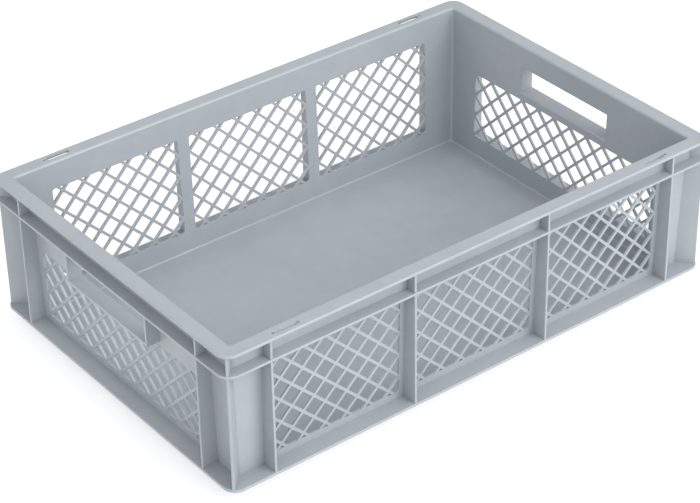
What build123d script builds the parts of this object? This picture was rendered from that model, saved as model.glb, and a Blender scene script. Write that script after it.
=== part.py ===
"""Open-topped stacking crate, a 600 x 400 Euro tray with lattice sides.

The crate is one injection moulding.  It is modelled as its named regions,
each a solid of its own that meets its neighbours face to face.

Frame: +X along the length, +Y across the width, +Z up.
Origin: centre of the underside, on the surface that the crate stands on.
"""
import os
from math import ceil, radians, sqrt, tan

from build123d import *

os.makedirs("parts", exist_ok=True)

# ---------------------------------------------------------------- overall
length = 600.0
width = 400.0
height = 170.0
outline_radius = 14.0

# ---------------------------------------------------------------- tub
wall = 2.2
draft = 1.48
mouth_setback = 17.0
mouth_radius = 2.6
floor_thickness = 3.0
floor_cove = 2.0
foot_edge_radius = 3.5
tray_height = 7.0

# ---------------------------------------------------------------- rings
rim_thickness = 3.0
rim_outer_radius = 1.3
rim_inner_radius = 2.6
ring_edge_radius = 0.7
band_drop = 22.4
band_thickness = 2.7
collar_setback = 12.5
base_flange_drop = 150.5
base_flange_thickness = 3.0

# ---------------------------------------------------------------- ribs
rib_thickness = 2.6
rib_edge_radius = 0.7
rib_inset = 0.8
long_side_rib_from_end = 51.0
end_rib_from_corner = 49.0
long_side_bays = 3

# ---------------------------------------------------------------- lattice
lattice_pitch = 25.5
lattice_bar = 2.9
lattice_corner_radius = 0.8
window_margin = 7.0
window_corner_radius = 2.5
window_bottom = 27.0
long_window_drop = 30.0
end_window_margin = 10.7
end_window_drop = 65.0

# ---------------------------------------------------------------- hand hole
hand_hole_width = 133.0
hand_hole_sill_drop = 55.5
handle_frame_wall = 2.8
handle_frame_inset = 1.5
handle_mouth_radius = 2.3

# ---------------------------------------------------------------- lid slots
slot_length = 27.0
slot_width = 5.4
slot_from_end = 73.5
slot_setback = 7.4
dimple_radius = 1.5
dimple_depth = 1.2
dimple_gap = 2.4

# ---------------------------------------------------------------- derived
rim_underside = height - rim_thickness
band_top = height - band_drop
band_bottom = band_top - band_thickness
flange_top = height - base_flange_drop
flange_bottom = flange_top - base_flange_thickness
long_rib_span = length - 2 * long_side_rib_from_end
long_bay = long_rib_span / long_side_bays
end_rib_span = width - 2 * end_rib_from_corner
side_depth = mouth_setback + height * tan(radians(draft)) + wall
hand_hole_sill = height - hand_hole_sill_drop
top_plane = Plane(origin=(0, 0, height), x_dir=(1, 0, 0), z_dir=(0, 0, -1))

# Each side has a plane on its outer face: local x runs along the side,
# local y is up and the normal points out of the crate.
sides = {
    "front": Plane(origin=(0, -width / 2, 0), x_dir=(1, 0, 0), z_dir=(0, -1, 0)),
    "right": Plane(origin=(length / 2, 0, 0), x_dir=(0, 1, 0), z_dir=(1, 0, 0)),
    "back": Plane(origin=(0, width / 2, 0), x_dir=(-1, 0, 0), z_dir=(0, 1, 0)),
    "left": Plane(origin=(-length / 2, 0, 0), x_dir=(0, -1, 0), z_dir=(-1, 0, 0)),
}
corners = {
    "front_left": (-1, -1),
    "front_right": (1, -1),
    "back_right": (1, 1),
    "back_left": (-1, 1),
}


def is_long(side):
    return side in ("front", "back")


def save(part, name):
    """Label a finished piece and write it as its own STEP file."""
    part.label = name
    export_step(part, f"parts/{name}.step")


def rib_places(side):
    """Distances of the ribs from the middle of a side."""
    if is_long(side):
        return [i * long_bay - long_rib_span / 2 for i in range(long_side_bays + 1)]
    return [-end_rib_span / 2, end_rib_span / 2]


def windows(side):
    """Centre, width and height of each lattice window in a side."""
    if is_long(side):
        top = height - long_window_drop
        middle = (window_bottom + top) / 2
        size = (long_bay - 2 * window_margin, top - window_bottom)
        firsts = rib_places(side)[:-1]
        return [((x + long_bay / 2, middle), size) for x in firsts]
    top = height - end_window_drop
    size = (end_rib_span - 2 * end_window_margin, top - window_bottom)
    return [((0, (window_bottom + top) / 2), size)]


# ---------------------------------------------------------------- masters
def drafted_block(setback, depth, upright_radius, bottom_radius):
    """A block that narrows downwards from the mouth, rounded at its edges."""
    with BuildPart() as block:
        with BuildSketch(top_plane):
            Rectangle(length - 2 * setback, width - 2 * setback)
        extrude(amount=depth, taper=draft)
        ends = block.faces().filter_by(GeomType.PLANE).sort_by(Axis.Z)
        level_edges = ends[0].edges() + ends[-1].edges()
        fillet([e for e in block.edges() if e not in level_edges], upright_radius)
        fillet(block.faces().sort_by(Axis.Z)[0].edges(), bottom_radius)
    return block.part


# The hollow tub with its drafted walls, coved floor and thicker collar.
with BuildPart() as tub_block:
    add(drafted_block(mouth_setback - wall, height, mouth_radius + wall, foot_edge_radius))
    with BuildSketch(Plane.XY.offset(band_top)):
        RectangleRounded(
            length - 2 * collar_setback,
            width - 2 * collar_setback,
            mouth_setback + mouth_radius - collar_setback,
        )
    extrude(amount=height - band_top)

cavity = drafted_block(mouth_setback, height - floor_thickness, mouth_radius, floor_cove)

with BuildPart() as tub:
    add(tub_block.part)
    add(cavity, mode=Mode.SUBTRACT)


def outline(inset=0.0):
    """The crate's outer outline, or one that lies inset inside it."""
    RectangleRounded(length - 2 * inset, width - 2 * inset, outline_radius - inset)


# The rim: a flat flange around the mouth.
with BuildPart() as rim_ring:
    with BuildSketch(Plane.XY.offset(rim_underside)):
        outline()
        RectangleRounded(
            length - 2 * mouth_setback,
            width - 2 * mouth_setback,
            mouth_radius,
            mode=Mode.SUBTRACT,
        )
    extrude(amount=rim_thickness)
    rim_top = rim_ring.faces().sort_by(Axis.Z)[-1]
    inner_rim_edges = rim_top.inner_wires()[0].edges()
    outer_rim_edges = rim_top.outer_wire().edges()
    fillet(inner_rim_edges, rim_inner_radius)
    fillet(outer_rim_edges, rim_outer_radius)
    fillet(rim_ring.faces().sort_by(Axis.Z)[0].outer_wire().edges(), ring_edge_radius)


def flat_ring(bottom, thickness, plates=()):
    """A flat ring around the tub with softened outer edges, slotted for plates."""
    with BuildPart() as ring:
        with BuildSketch(Plane.XY.offset(bottom)):
            outline()
        extrude(amount=thickness)
        fillet(ring.faces().sort_by(Axis.Z)[-1].edges(), ring_edge_radius)
        fillet(ring.faces().sort_by(Axis.Z)[0].edges(), ring_edge_radius)
        for plate in plates:
            add(plate, mode=Mode.SUBTRACT)
        add(tub_block.part, mode=Mode.SUBTRACT)
    return ring.part


# ---------------------------------------------------------------- ribs
def side_plate(side, place):
    """An upright plate that runs in from the outline of a side into the tub."""
    with BuildPart() as plate:
        with BuildSketch(sides[side].offset(-rib_inset)):
            with Locations((place, (flange_top + rim_underside) / 2)):
                Rectangle(rib_thickness, rim_underside - flange_top)
        extrude(amount=-side_depth)
        outer = plate.faces().sort_by(Axis(sides[side].origin, sides[side].z_dir))[-1]
        fillet(outer.edges().filter_by(Axis.Z), rib_edge_radius)
    return plate.part


def corner_plate(sign_x, sign_y):
    """An upright plate that runs at 45 degrees from a corner into the tub."""
    outward = Axis((0, 0, 0), (sign_x, sign_y, 0))
    with BuildPart() as plate:
        with BuildSketch(Plane.XY.offset(flange_top)):
            with Locations((sign_x * length / 2, sign_y * width / 2)):
                Rectangle(4 * side_depth, rib_thickness, rotation=45 * sign_x * sign_y)
                Rectangle(2 * side_depth, 2 * side_depth, mode=Mode.INTERSECT)
        extrude(amount=rim_underside - flange_top)
        with BuildSketch(Plane.XY.offset(flange_top)):
            outline(rib_inset)
        extrude(amount=rim_underside - flange_top, mode=Mode.INTERSECT)
        outer = plate.faces().sort_by(outward)[-1]
        fillet(outer.edges().filter_by(Axis.Z), rib_edge_radius)
    return plate.part


plates = {}
for side in sides:
    for number, place in enumerate(rib_places(side), 1):
        plates[f"rib_{side}_{number}"] = side_plate(side, place)
for corner, signs in corners.items():
    plates[f"corner_rib_{corner}"] = corner_plate(*signs)

for name, plate_part in plates.items():
    with BuildPart() as rib:
        add(plate_part)
        add(tub_block.part, mode=Mode.SUBTRACT)
    save(rib.part, name)


# ---------------------------------------------------------------- floor
with BuildPart() as floor_pan:
    add(tub.part)
    with BuildSketch():
        outline()
    extrude(amount=tray_height, mode=Mode.INTERSECT)
save(floor_pan.part, "floor_pan")


# ---------------------------------------------------------------- walls
def hand_hole_sketch(plane, margin=0.0):
    """The hand hole's outline in a side plane, grown by margin at three sides."""
    bottom = hand_hole_sill - margin
    with BuildSketch(plane) as hole:
        with Locations((0, (bottom + band_bottom) / 2)):
            Rectangle(hand_hole_width + 2 * margin, band_bottom - bottom)
    return hole.sketch


def drafted_wall(side):
    """The plain wall of a side from the tray up to the rim, with its collar."""
    face = sides[side]
    across = Plane(origin=face.origin, x_dir=-face.z_dir, z_dir=face.x_dir)
    low = mouth_setback + (height - tray_height) * tan(radians(draft))
    shoulder = mouth_setback + (height - band_top) * tan(radians(draft))
    high = mouth_setback + (height - rim_underside) * tan(radians(draft))
    section = [
        (low, tray_height),
        (high, rim_underside),
        (collar_setback, rim_underside),
        (collar_setback, band_top),
        (shoulder - wall, band_top),
        (low - wall, tray_height),
    ]
    with BuildPart() as slab:
        with BuildSketch(across):
            with BuildLine():
                Polyline(*section, close=True)
            make_face()
        extrude(amount=length / 2, both=True)
    return slab.part


def side_wall(side):
    """A flat side between its outermost ribs, with its windows cut out."""
    span = long_rib_span if is_long(side) else end_rib_span
    with BuildPart() as panel:
        with BuildSketch(sides[side]):
            with Locations((0, (tray_height + rim_underside) / 2)):
                Rectangle(span, rim_underside - tray_height)
            for centre, size in windows(side):
                with Locations(centre):
                    RectangleRounded(*size, window_corner_radius, mode=Mode.SUBTRACT)
        extrude(amount=-side_depth - wall)
        add(drafted_wall(side), mode=Mode.INTERSECT)
        if not is_long(side):
            hole = hand_hole_sketch(sides[side], handle_frame_wall)
            extrude(hole, amount=-side_depth - wall, mode=Mode.SUBTRACT)
    return panel.part


for side in sides:
    save(side_wall(side), f"wall_{side}")

# A corner post: the plain L of wall between the last ribs of two sides.
for name, (sign_x, sign_y) in corners.items():
    with BuildPart() as corner_wall:
        add(tub.part)
        with BuildSketch(Plane.XY.offset(tray_height)):
            with Locations((sign_x * length / 2, sign_y * width / 2)):
                Rectangle(2 * long_side_rib_from_end, 2 * end_rib_from_corner)
        extrude(amount=rim_underside - tray_height, mode=Mode.INTERSECT)
    save(corner_wall.part, f"corner_wall_{name}")


# ---------------------------------------------------------------- lattice
def odd_count(half_extent):
    """How many cells, one of them central, cover a half extent and one more."""
    return 2 * ceil(half_extent / lattice_pitch) + 1


def lattice_panel(side, centre, size):
    """A window filled with two crossing families of thin diagonal bars."""
    hole = lattice_pitch / sqrt(2) - lattice_bar
    across = odd_count(size[0] / 2)
    rows = odd_count(size[1] / 2)
    first, second = (across, across + 1) if is_long(side) else (across + 1, across)
    with BuildPart() as panel:
        with BuildSketch(sides[side]):
            with Locations(centre):
                RectangleRounded(*size, window_corner_radius)
                for counts in ((first, rows), (second, rows + 1)):
                    with GridLocations(lattice_pitch, lattice_pitch, *counts):
                        RectangleRounded(
                            hole, hole, lattice_corner_radius, rotation=45, mode=Mode.SUBTRACT
                        )
        extrude(amount=-side_depth - wall)
        add(drafted_wall(side), mode=Mode.INTERSECT)
    return panel.part


bay_names = {"front": ("left", "centre", "right"), "back": ("right", "centre", "left")}
for side in sides:
    for number, (centre, size) in enumerate(windows(side)):
        suffix = f"_{bay_names[side][number]}" if is_long(side) else ""
        save(lattice_panel(side, centre, size), f"lattice_{side}{suffix}")


# ---------------------------------------------------------------- handles
def borders_hand_hole(edge):
    """Whether an edge of a handle frame is a side or the sill of its hole."""
    half = handle_frame_wall / 2
    beside = abs(edge.center().Y) < hand_hole_width / 2 + half
    return beside and hand_hole_sill - half < edge.center().Z < band_bottom - half


for side in ("left", "right"):
    outer_plane = sides[side].offset(-handle_frame_inset)
    frame_outline = hand_hole_sketch(outer_plane, handle_frame_wall)
    hole = hand_hole_sketch(sides[side])
    with BuildPart() as handle_frame:
        extrude(frame_outline, amount=-side_depth - wall)
        extrude(hole, amount=-2 * side_depth, mode=Mode.SUBTRACT)
        add(cavity, mode=Mode.SUBTRACT)
        inner = handle_frame.faces().sort_by(Axis(sides[side].origin, sides[side].z_dir))[0]
        fillet([edge for edge in inner.edges() if borders_hand_hole(edge)], handle_mouth_radius)
    save(handle_frame.part, f"handle_frame_{side}")


# ---------------------------------------------------------------- rings
def sector(side):
    """The quarter of the plan that belongs to a side, mitred at the corners."""
    ridge = (length - width) / 2
    corner_points = {
        "front": [(-length / 2, -width / 2), (length / 2, -width / 2), (ridge, 0), (-ridge, 0)],
        "right": [(length / 2, -width / 2), (length / 2, width / 2), (ridge, 0)],
        "back": [(length / 2, width / 2), (-length / 2, width / 2), (-ridge, 0), (ridge, 0)],
        "left": [(-length / 2, width / 2), (-length / 2, -width / 2), (-ridge, 0)],
    }
    with BuildSketch() as plan:
        with BuildLine():
            Polyline(*corner_points[side], close=True)
        make_face()
    return plan.sketch


with BuildPart() as slotted_rim:
    add(rim_ring.part)
    slot_x = length / 2 - slot_from_end
    slot_y = width / 2 - slot_setback
    dimple_x = slot_x + slot_length / 2 + dimple_gap
    with BuildSketch(Plane.XY.offset(rim_underside)):
        with GridLocations(2 * slot_x, 2 * slot_y, 2, 2):
            SlotOverall(slot_length, slot_width)
    extrude(amount=rim_thickness, mode=Mode.SUBTRACT)
    with BuildSketch(Plane.XY.offset(height - dimple_depth)):
        with GridLocations(2 * dimple_x, 2 * slot_y, 2, 2):
            Circle(dimple_radius)
    extrude(amount=dimple_depth, mode=Mode.SUBTRACT)

rings = {
    "rim": slotted_rim.part,
    "band": flat_ring(band_bottom, band_thickness, plates.values()),
    "base_flange": flat_ring(flange_bottom, base_flange_thickness),
}
for ring_name, ring_part in rings.items():
    for side in sides:
        with BuildPart() as rail:
            add(ring_part)
            add(sector(side))
            extrude(amount=height, mode=Mode.INTERSECT)
        save(rail.part, f"{ring_name}_{side}")
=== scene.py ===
"""Looks for the stacking plastic crate: moulded plastic on every CAD node,
a pale studio floor, soft lights and a camera at the front left.

Everything is in metres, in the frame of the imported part: origin under the
middle of the crate on the floor, +X along its length, +Z up.
"""
from math import cos, radians, sin

import bpy
from mathutils import Matrix, Vector


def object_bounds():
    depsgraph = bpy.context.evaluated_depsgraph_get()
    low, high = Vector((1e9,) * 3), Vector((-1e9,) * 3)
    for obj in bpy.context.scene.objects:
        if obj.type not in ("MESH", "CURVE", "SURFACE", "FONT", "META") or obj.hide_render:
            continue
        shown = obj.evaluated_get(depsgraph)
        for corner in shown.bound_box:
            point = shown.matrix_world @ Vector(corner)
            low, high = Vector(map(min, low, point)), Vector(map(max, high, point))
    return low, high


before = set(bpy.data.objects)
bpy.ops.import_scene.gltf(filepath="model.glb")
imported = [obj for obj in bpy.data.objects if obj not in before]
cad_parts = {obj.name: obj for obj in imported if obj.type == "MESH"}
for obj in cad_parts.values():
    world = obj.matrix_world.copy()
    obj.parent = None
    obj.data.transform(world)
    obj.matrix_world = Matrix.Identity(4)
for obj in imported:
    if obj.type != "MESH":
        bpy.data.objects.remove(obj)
cad_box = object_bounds()
scene = bpy.context.scene

low, high = (Vector(corner) for corner in cad_box)
middle = (low + high) / 2
rim_middle = Vector((middle.x, middle.y, high.z))

# Plastic: colours, then noise scales in features per metre, then finish.
PLASTIC_DARK = (0.292, 0.318, 0.340, 1)
PLASTIC_PALE = (0.326, 0.350, 0.370, 1)
PLASTIC_RUBBED = (0.44, 0.465, 0.485, 1)
RUB_STRENGTH = 0.16
CLOUD_SCALE = 7.0
CLOUD_SHARE = 0.55
MOTTLE_SCALE = 46.0
MOTTLE_SHARE = 0.45
RUB_SCALES = (60.0, 60.0, 900.0)
HANDLED_SCALE = 18.0
GRAIN_SCALE = 1500.0
RIPPLE_SCALE = 55.0
SATIN_ROUGHNESS = 0.42
HANDLED_ROUGHNESS = 0.31
GRAIN_HEIGHT = 0.00003
RIPPLE_HEIGHT = 0.00022
BUMP_STRENGTH = 0.6
PLASTIC_IOR = 1.49

# Floor: it glows a little, as a light table does, so that contact shadows
# on it stay faint.
FLOOR_HALF = 9.0
FLOOR_GAP = 0.0002
FLOOR_DARK = (0.43, 0.43, 0.43, 1)
FLOOR_PALE = (0.45, 0.45, 0.45, 1)
FLOOR_SCALE = 2.0
FLOOR_ROUGHNESS = 0.9
FLOOR_GLOW = 0.6
WHITE = (1, 1, 1, 1)

# Light: the sky goes from dim to bright between two cosines of the angle
# to the key direction.
KEY_DIRECTION = Vector((0.25, -0.78, 0.54)).normalized()
LEFT_DIRECTION = Vector((-1.0, -0.15, 0.4)).normalized()
EDGE_DIRECTION = Vector((-0.53, 0.66, 0.49)).normalized()
SOFTBOX_DISTANCE = 3.0
SKY_TINT = (0.965, 0.98, 1.0, 1)
SKY_DIM = 0.56
SKY_BRIGHT = 1.70
SKY_DIM_COSINE = -0.1
SKY_BRIGHT_COSINE = 0.9

# Camera: its place is given from the middle of the rim's top face.
LENS_MM = 119.8543
SENSOR_MM = 36.0
CAMERA_FROM_RIM = Vector((-1.21335, -1.58024, 1.19935))
CAMERA_REACH = 50.0
YAW = radians(37.357)
PITCH = radians(33.362)
ROLL = radians(-1.113)


# ------------------------------------------------------------------ nodes
def feed(tree, socket, value):
    """Links a socket to another node's output, or sets its value."""
    if isinstance(value, bpy.types.NodeSocket):
        tree.links.new(value, socket)
    else:
        socket.default_value = value


def node(tree, kind, **inputs):
    """Adds a shader node; names of inputs use _ where Blender has a space."""
    made = tree.nodes.new(kind)
    for name, value in inputs.items():
        feed(tree, made.inputs[name.replace("_", " ")], value)
    return made


def new_material(name):
    """A material with an empty node tree, and that tree."""
    material = bpy.data.materials.new(name)
    material.use_nodes = True
    material.node_tree.nodes.clear()
    return material, material.node_tree


def noise(tree, vector, scale, detail=3.0, roughness=0.5):
    """Smooth noise from 0 to 1 along a vector."""
    made = node(
        tree, "ShaderNodeTexNoise", Vector=vector, Scale=scale, Detail=detail, Roughness=roughness
    )
    return made.outputs["Fac"]


def spread(tree, value, from_min, from_max, to_min, to_max):
    """Maps a range of values to another range, without going past it."""
    made = node(
        tree,
        "ShaderNodeMapRange",
        Value=value,
        From_Min=from_min,
        From_Max=from_max,
        To_Min=to_min,
        To_Max=to_max,
    )
    return made.outputs["Result"]


def blend(tree, first, first_share, second, second_share):
    """The sum of two values, each times its share."""
    shares = []
    for value, share in ((first, first_share), (second, second_share)):
        product = tree.nodes.new("ShaderNodeMath")
        product.operation = "MULTIPLY"
        feed(tree, product.inputs[0], value)
        feed(tree, product.inputs[1], share)
        shares.append(product.outputs[0])
    total = tree.nodes.new("ShaderNodeMath")
    total.operation = "ADD"
    feed(tree, total.inputs[0], shares[0])
    feed(tree, total.inputs[1], shares[1])
    return total.outputs[0]


def mix_colour(tree, factor, first, second):
    """A colour between two others."""
    made = tree.nodes.new("ShaderNodeMix")
    made.data_type = "RGBA"
    for name, value in (("Factor_Float", factor), ("A_Color", first), ("B_Color", second)):
        feed(tree, next(s for s in made.inputs if s.identifier == name), value)
    return next(s for s in made.outputs if s.identifier == "Result_Color")


def set_surface(tree, shader):
    """Makes a shader the surface of the tree's material."""
    out = tree.nodes.new("ShaderNodeOutputMaterial")
    tree.links.new(shader.outputs[0], out.inputs["Surface"])


# ---------------------------------------------------------------- plastic
def moulded_plastic():
    """Cool light grey polypropylene with a fine satin grain and faint flow."""
    material, tree = new_material("crate_plastic_look")
    place = tree.nodes.new("ShaderNodeTexCoord").outputs["Object"]

    # Colour: wide soft clouds where the melt cooled unevenly, finer mottling
    # over them, and faint pale rubs from stacking.
    clouds = noise(tree, place, CLOUD_SCALE, 2.0)
    mottle = noise(tree, place, MOTTLE_SCALE, 4.0, 0.62)
    tone = blend(tree, clouds, CLOUD_SHARE, mottle, MOTTLE_SHARE)
    tone = spread(tree, tone, 0.36, 0.64, 0.0, 1.0)
    base = mix_colour(tree, tone, PLASTIC_DARK, PLASTIC_PALE)
    streaks = node(tree, "ShaderNodeMapping", Vector=place, Scale=RUB_SCALES)
    rubs = noise(tree, streaks.outputs[0], 1.0, 5.0, 0.7)
    rubs = spread(tree, rubs, 0.66, 0.8, 0.0, RUB_STRENGTH)
    colour = mix_colour(tree, rubs, base, PLASTIC_RUBBED)

    # Finish: satin, a little glossier where it has been handled.
    handled = noise(tree, place, HANDLED_SCALE, 4.0, 0.6)
    roughness = spread(tree, handled, 0.3, 0.7, SATIN_ROUGHNESS, HANDLED_ROUGHNESS)

    # Relief: a fine moulded grain over a slight ripple.
    grain = noise(tree, place, GRAIN_SCALE, 2.0, 0.6)
    ripple = noise(tree, place, RIPPLE_SCALE, 2.0)
    relief = blend(tree, grain, GRAIN_HEIGHT, ripple, RIPPLE_HEIGHT)
    bump = node(tree, "ShaderNodeBump", Height=relief, Strength=BUMP_STRENGTH, Distance=1.0)

    shader = node(
        tree,
        "ShaderNodeBsdfPrincipled",
        Base_Color=colour,
        Roughness=roughness,
        IOR=PLASTIC_IOR,
        Normal=bump.outputs[0],
    )
    set_surface(tree, shader)
    return material


plastic = moulded_plastic()
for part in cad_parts.values():
    for slot in part.material_slots:
        slot.material = plastic


# ------------------------------------------------------------------ stage
def studio_floor():
    """A wide pale floor just under the crate."""
    material, tree = new_material("studio_floor")
    place = tree.nodes.new("ShaderNodeTexCoord").outputs["Object"]
    tone = spread(tree, noise(tree, place, FLOOR_SCALE, 3.0), 0.3, 0.7, 0.0, 1.0)
    colour = mix_colour(tree, tone, FLOOR_DARK, FLOOR_PALE)
    shader = node(
        tree,
        "ShaderNodeBsdfPrincipled",
        Base_Color=colour,
        Roughness=FLOOR_ROUGHNESS,
        Emission_Color=WHITE,
        Emission_Strength=FLOOR_GLOW,
    )
    set_surface(tree, shader)
    mesh = bpy.data.meshes.new("floor")
    signs = [(-1, -1), (1, -1), (1, 1), (-1, 1)]
    ring = [(x * FLOOR_HALF, y * FLOOR_HALF, 0) for x, y in signs]
    mesh.from_pydata(ring, [], [(0, 1, 2, 3)])
    mesh.materials.append(material)
    floor = bpy.data.objects.new("floor", mesh)
    scene.collection.objects.link(floor)
    floor.location.z = low.z - FLOOR_GAP
    return floor


studio_floor()


def studio_sky():
    """A dome of soft light: bright high up on the front right, dim on the left."""
    world = bpy.data.worlds.new("studio")
    scene.world = world
    world.use_nodes = True
    tree = world.node_tree
    background = tree.nodes["Background"]
    background.inputs["Color"].default_value = SKY_TINT
    direction = tree.nodes.new("ShaderNodeTexCoord").outputs["Generated"]
    toward_key = tree.nodes.new("ShaderNodeVectorMath")
    toward_key.operation = "DOT_PRODUCT"
    feed(tree, toward_key.inputs[0], direction)
    feed(tree, toward_key.inputs[1], KEY_DIRECTION)
    strength = spread(
        tree,
        toward_key.outputs["Value"],
        SKY_DIM_COSINE,
        SKY_BRIGHT_COSINE,
        SKY_DIM,
        SKY_BRIGHT,
    )
    strength.node.interpolation_type = "SMOOTHSTEP"
    feed(tree, background.inputs["Strength"], strength)


def softbox(name, direction, size, power):
    """A square area light that faces the middle of the crate."""
    data = bpy.data.lights.new(name, "AREA")
    data.shape = "SQUARE"
    data.size = size
    data.energy = power
    light = bpy.data.objects.new(name, data)
    scene.collection.objects.link(light)
    light.location = middle + SOFTBOX_DISTANCE * direction
    light.rotation_euler = direction.to_track_quat("Z", "Y").to_euler()


studio_sky()
softbox("key_softbox", KEY_DIRECTION, size=1.5, power=42.0)
softbox("left_softbox", LEFT_DIRECTION, size=2.0, power=15.0)
softbox("edge_softbox", EDGE_DIRECTION, size=0.9, power=9.0)

scene.view_settings.view_transform = "Standard"

# ----------------------------------------------------------------- camera
forward = Vector((cos(PITCH) * sin(YAW), cos(PITCH) * cos(YAW), -sin(PITCH)))
level_right = Vector((cos(YAW), -sin(YAW), 0))
level_up = level_right.cross(forward)
right = cos(ROLL) * level_right + sin(ROLL) * level_up
up = -sin(ROLL) * level_right + cos(ROLL) * level_up

camera_data = bpy.data.cameras.new("camera")
camera_data.sensor_fit = "HORIZONTAL"
camera_data.sensor_width = SENSOR_MM
camera_data.lens = LENS_MM
camera_data.clip_end = CAMERA_REACH
camera = bpy.data.objects.new("camera", camera_data)
scene.collection.objects.link(camera)
camera_turn = Matrix((right, up, -forward)).transposed().to_4x4()
camera.matrix_world = Matrix.Translation(rim_middle + CAMERA_FROM_RIM) @ camera_turn
scene.camera = camera
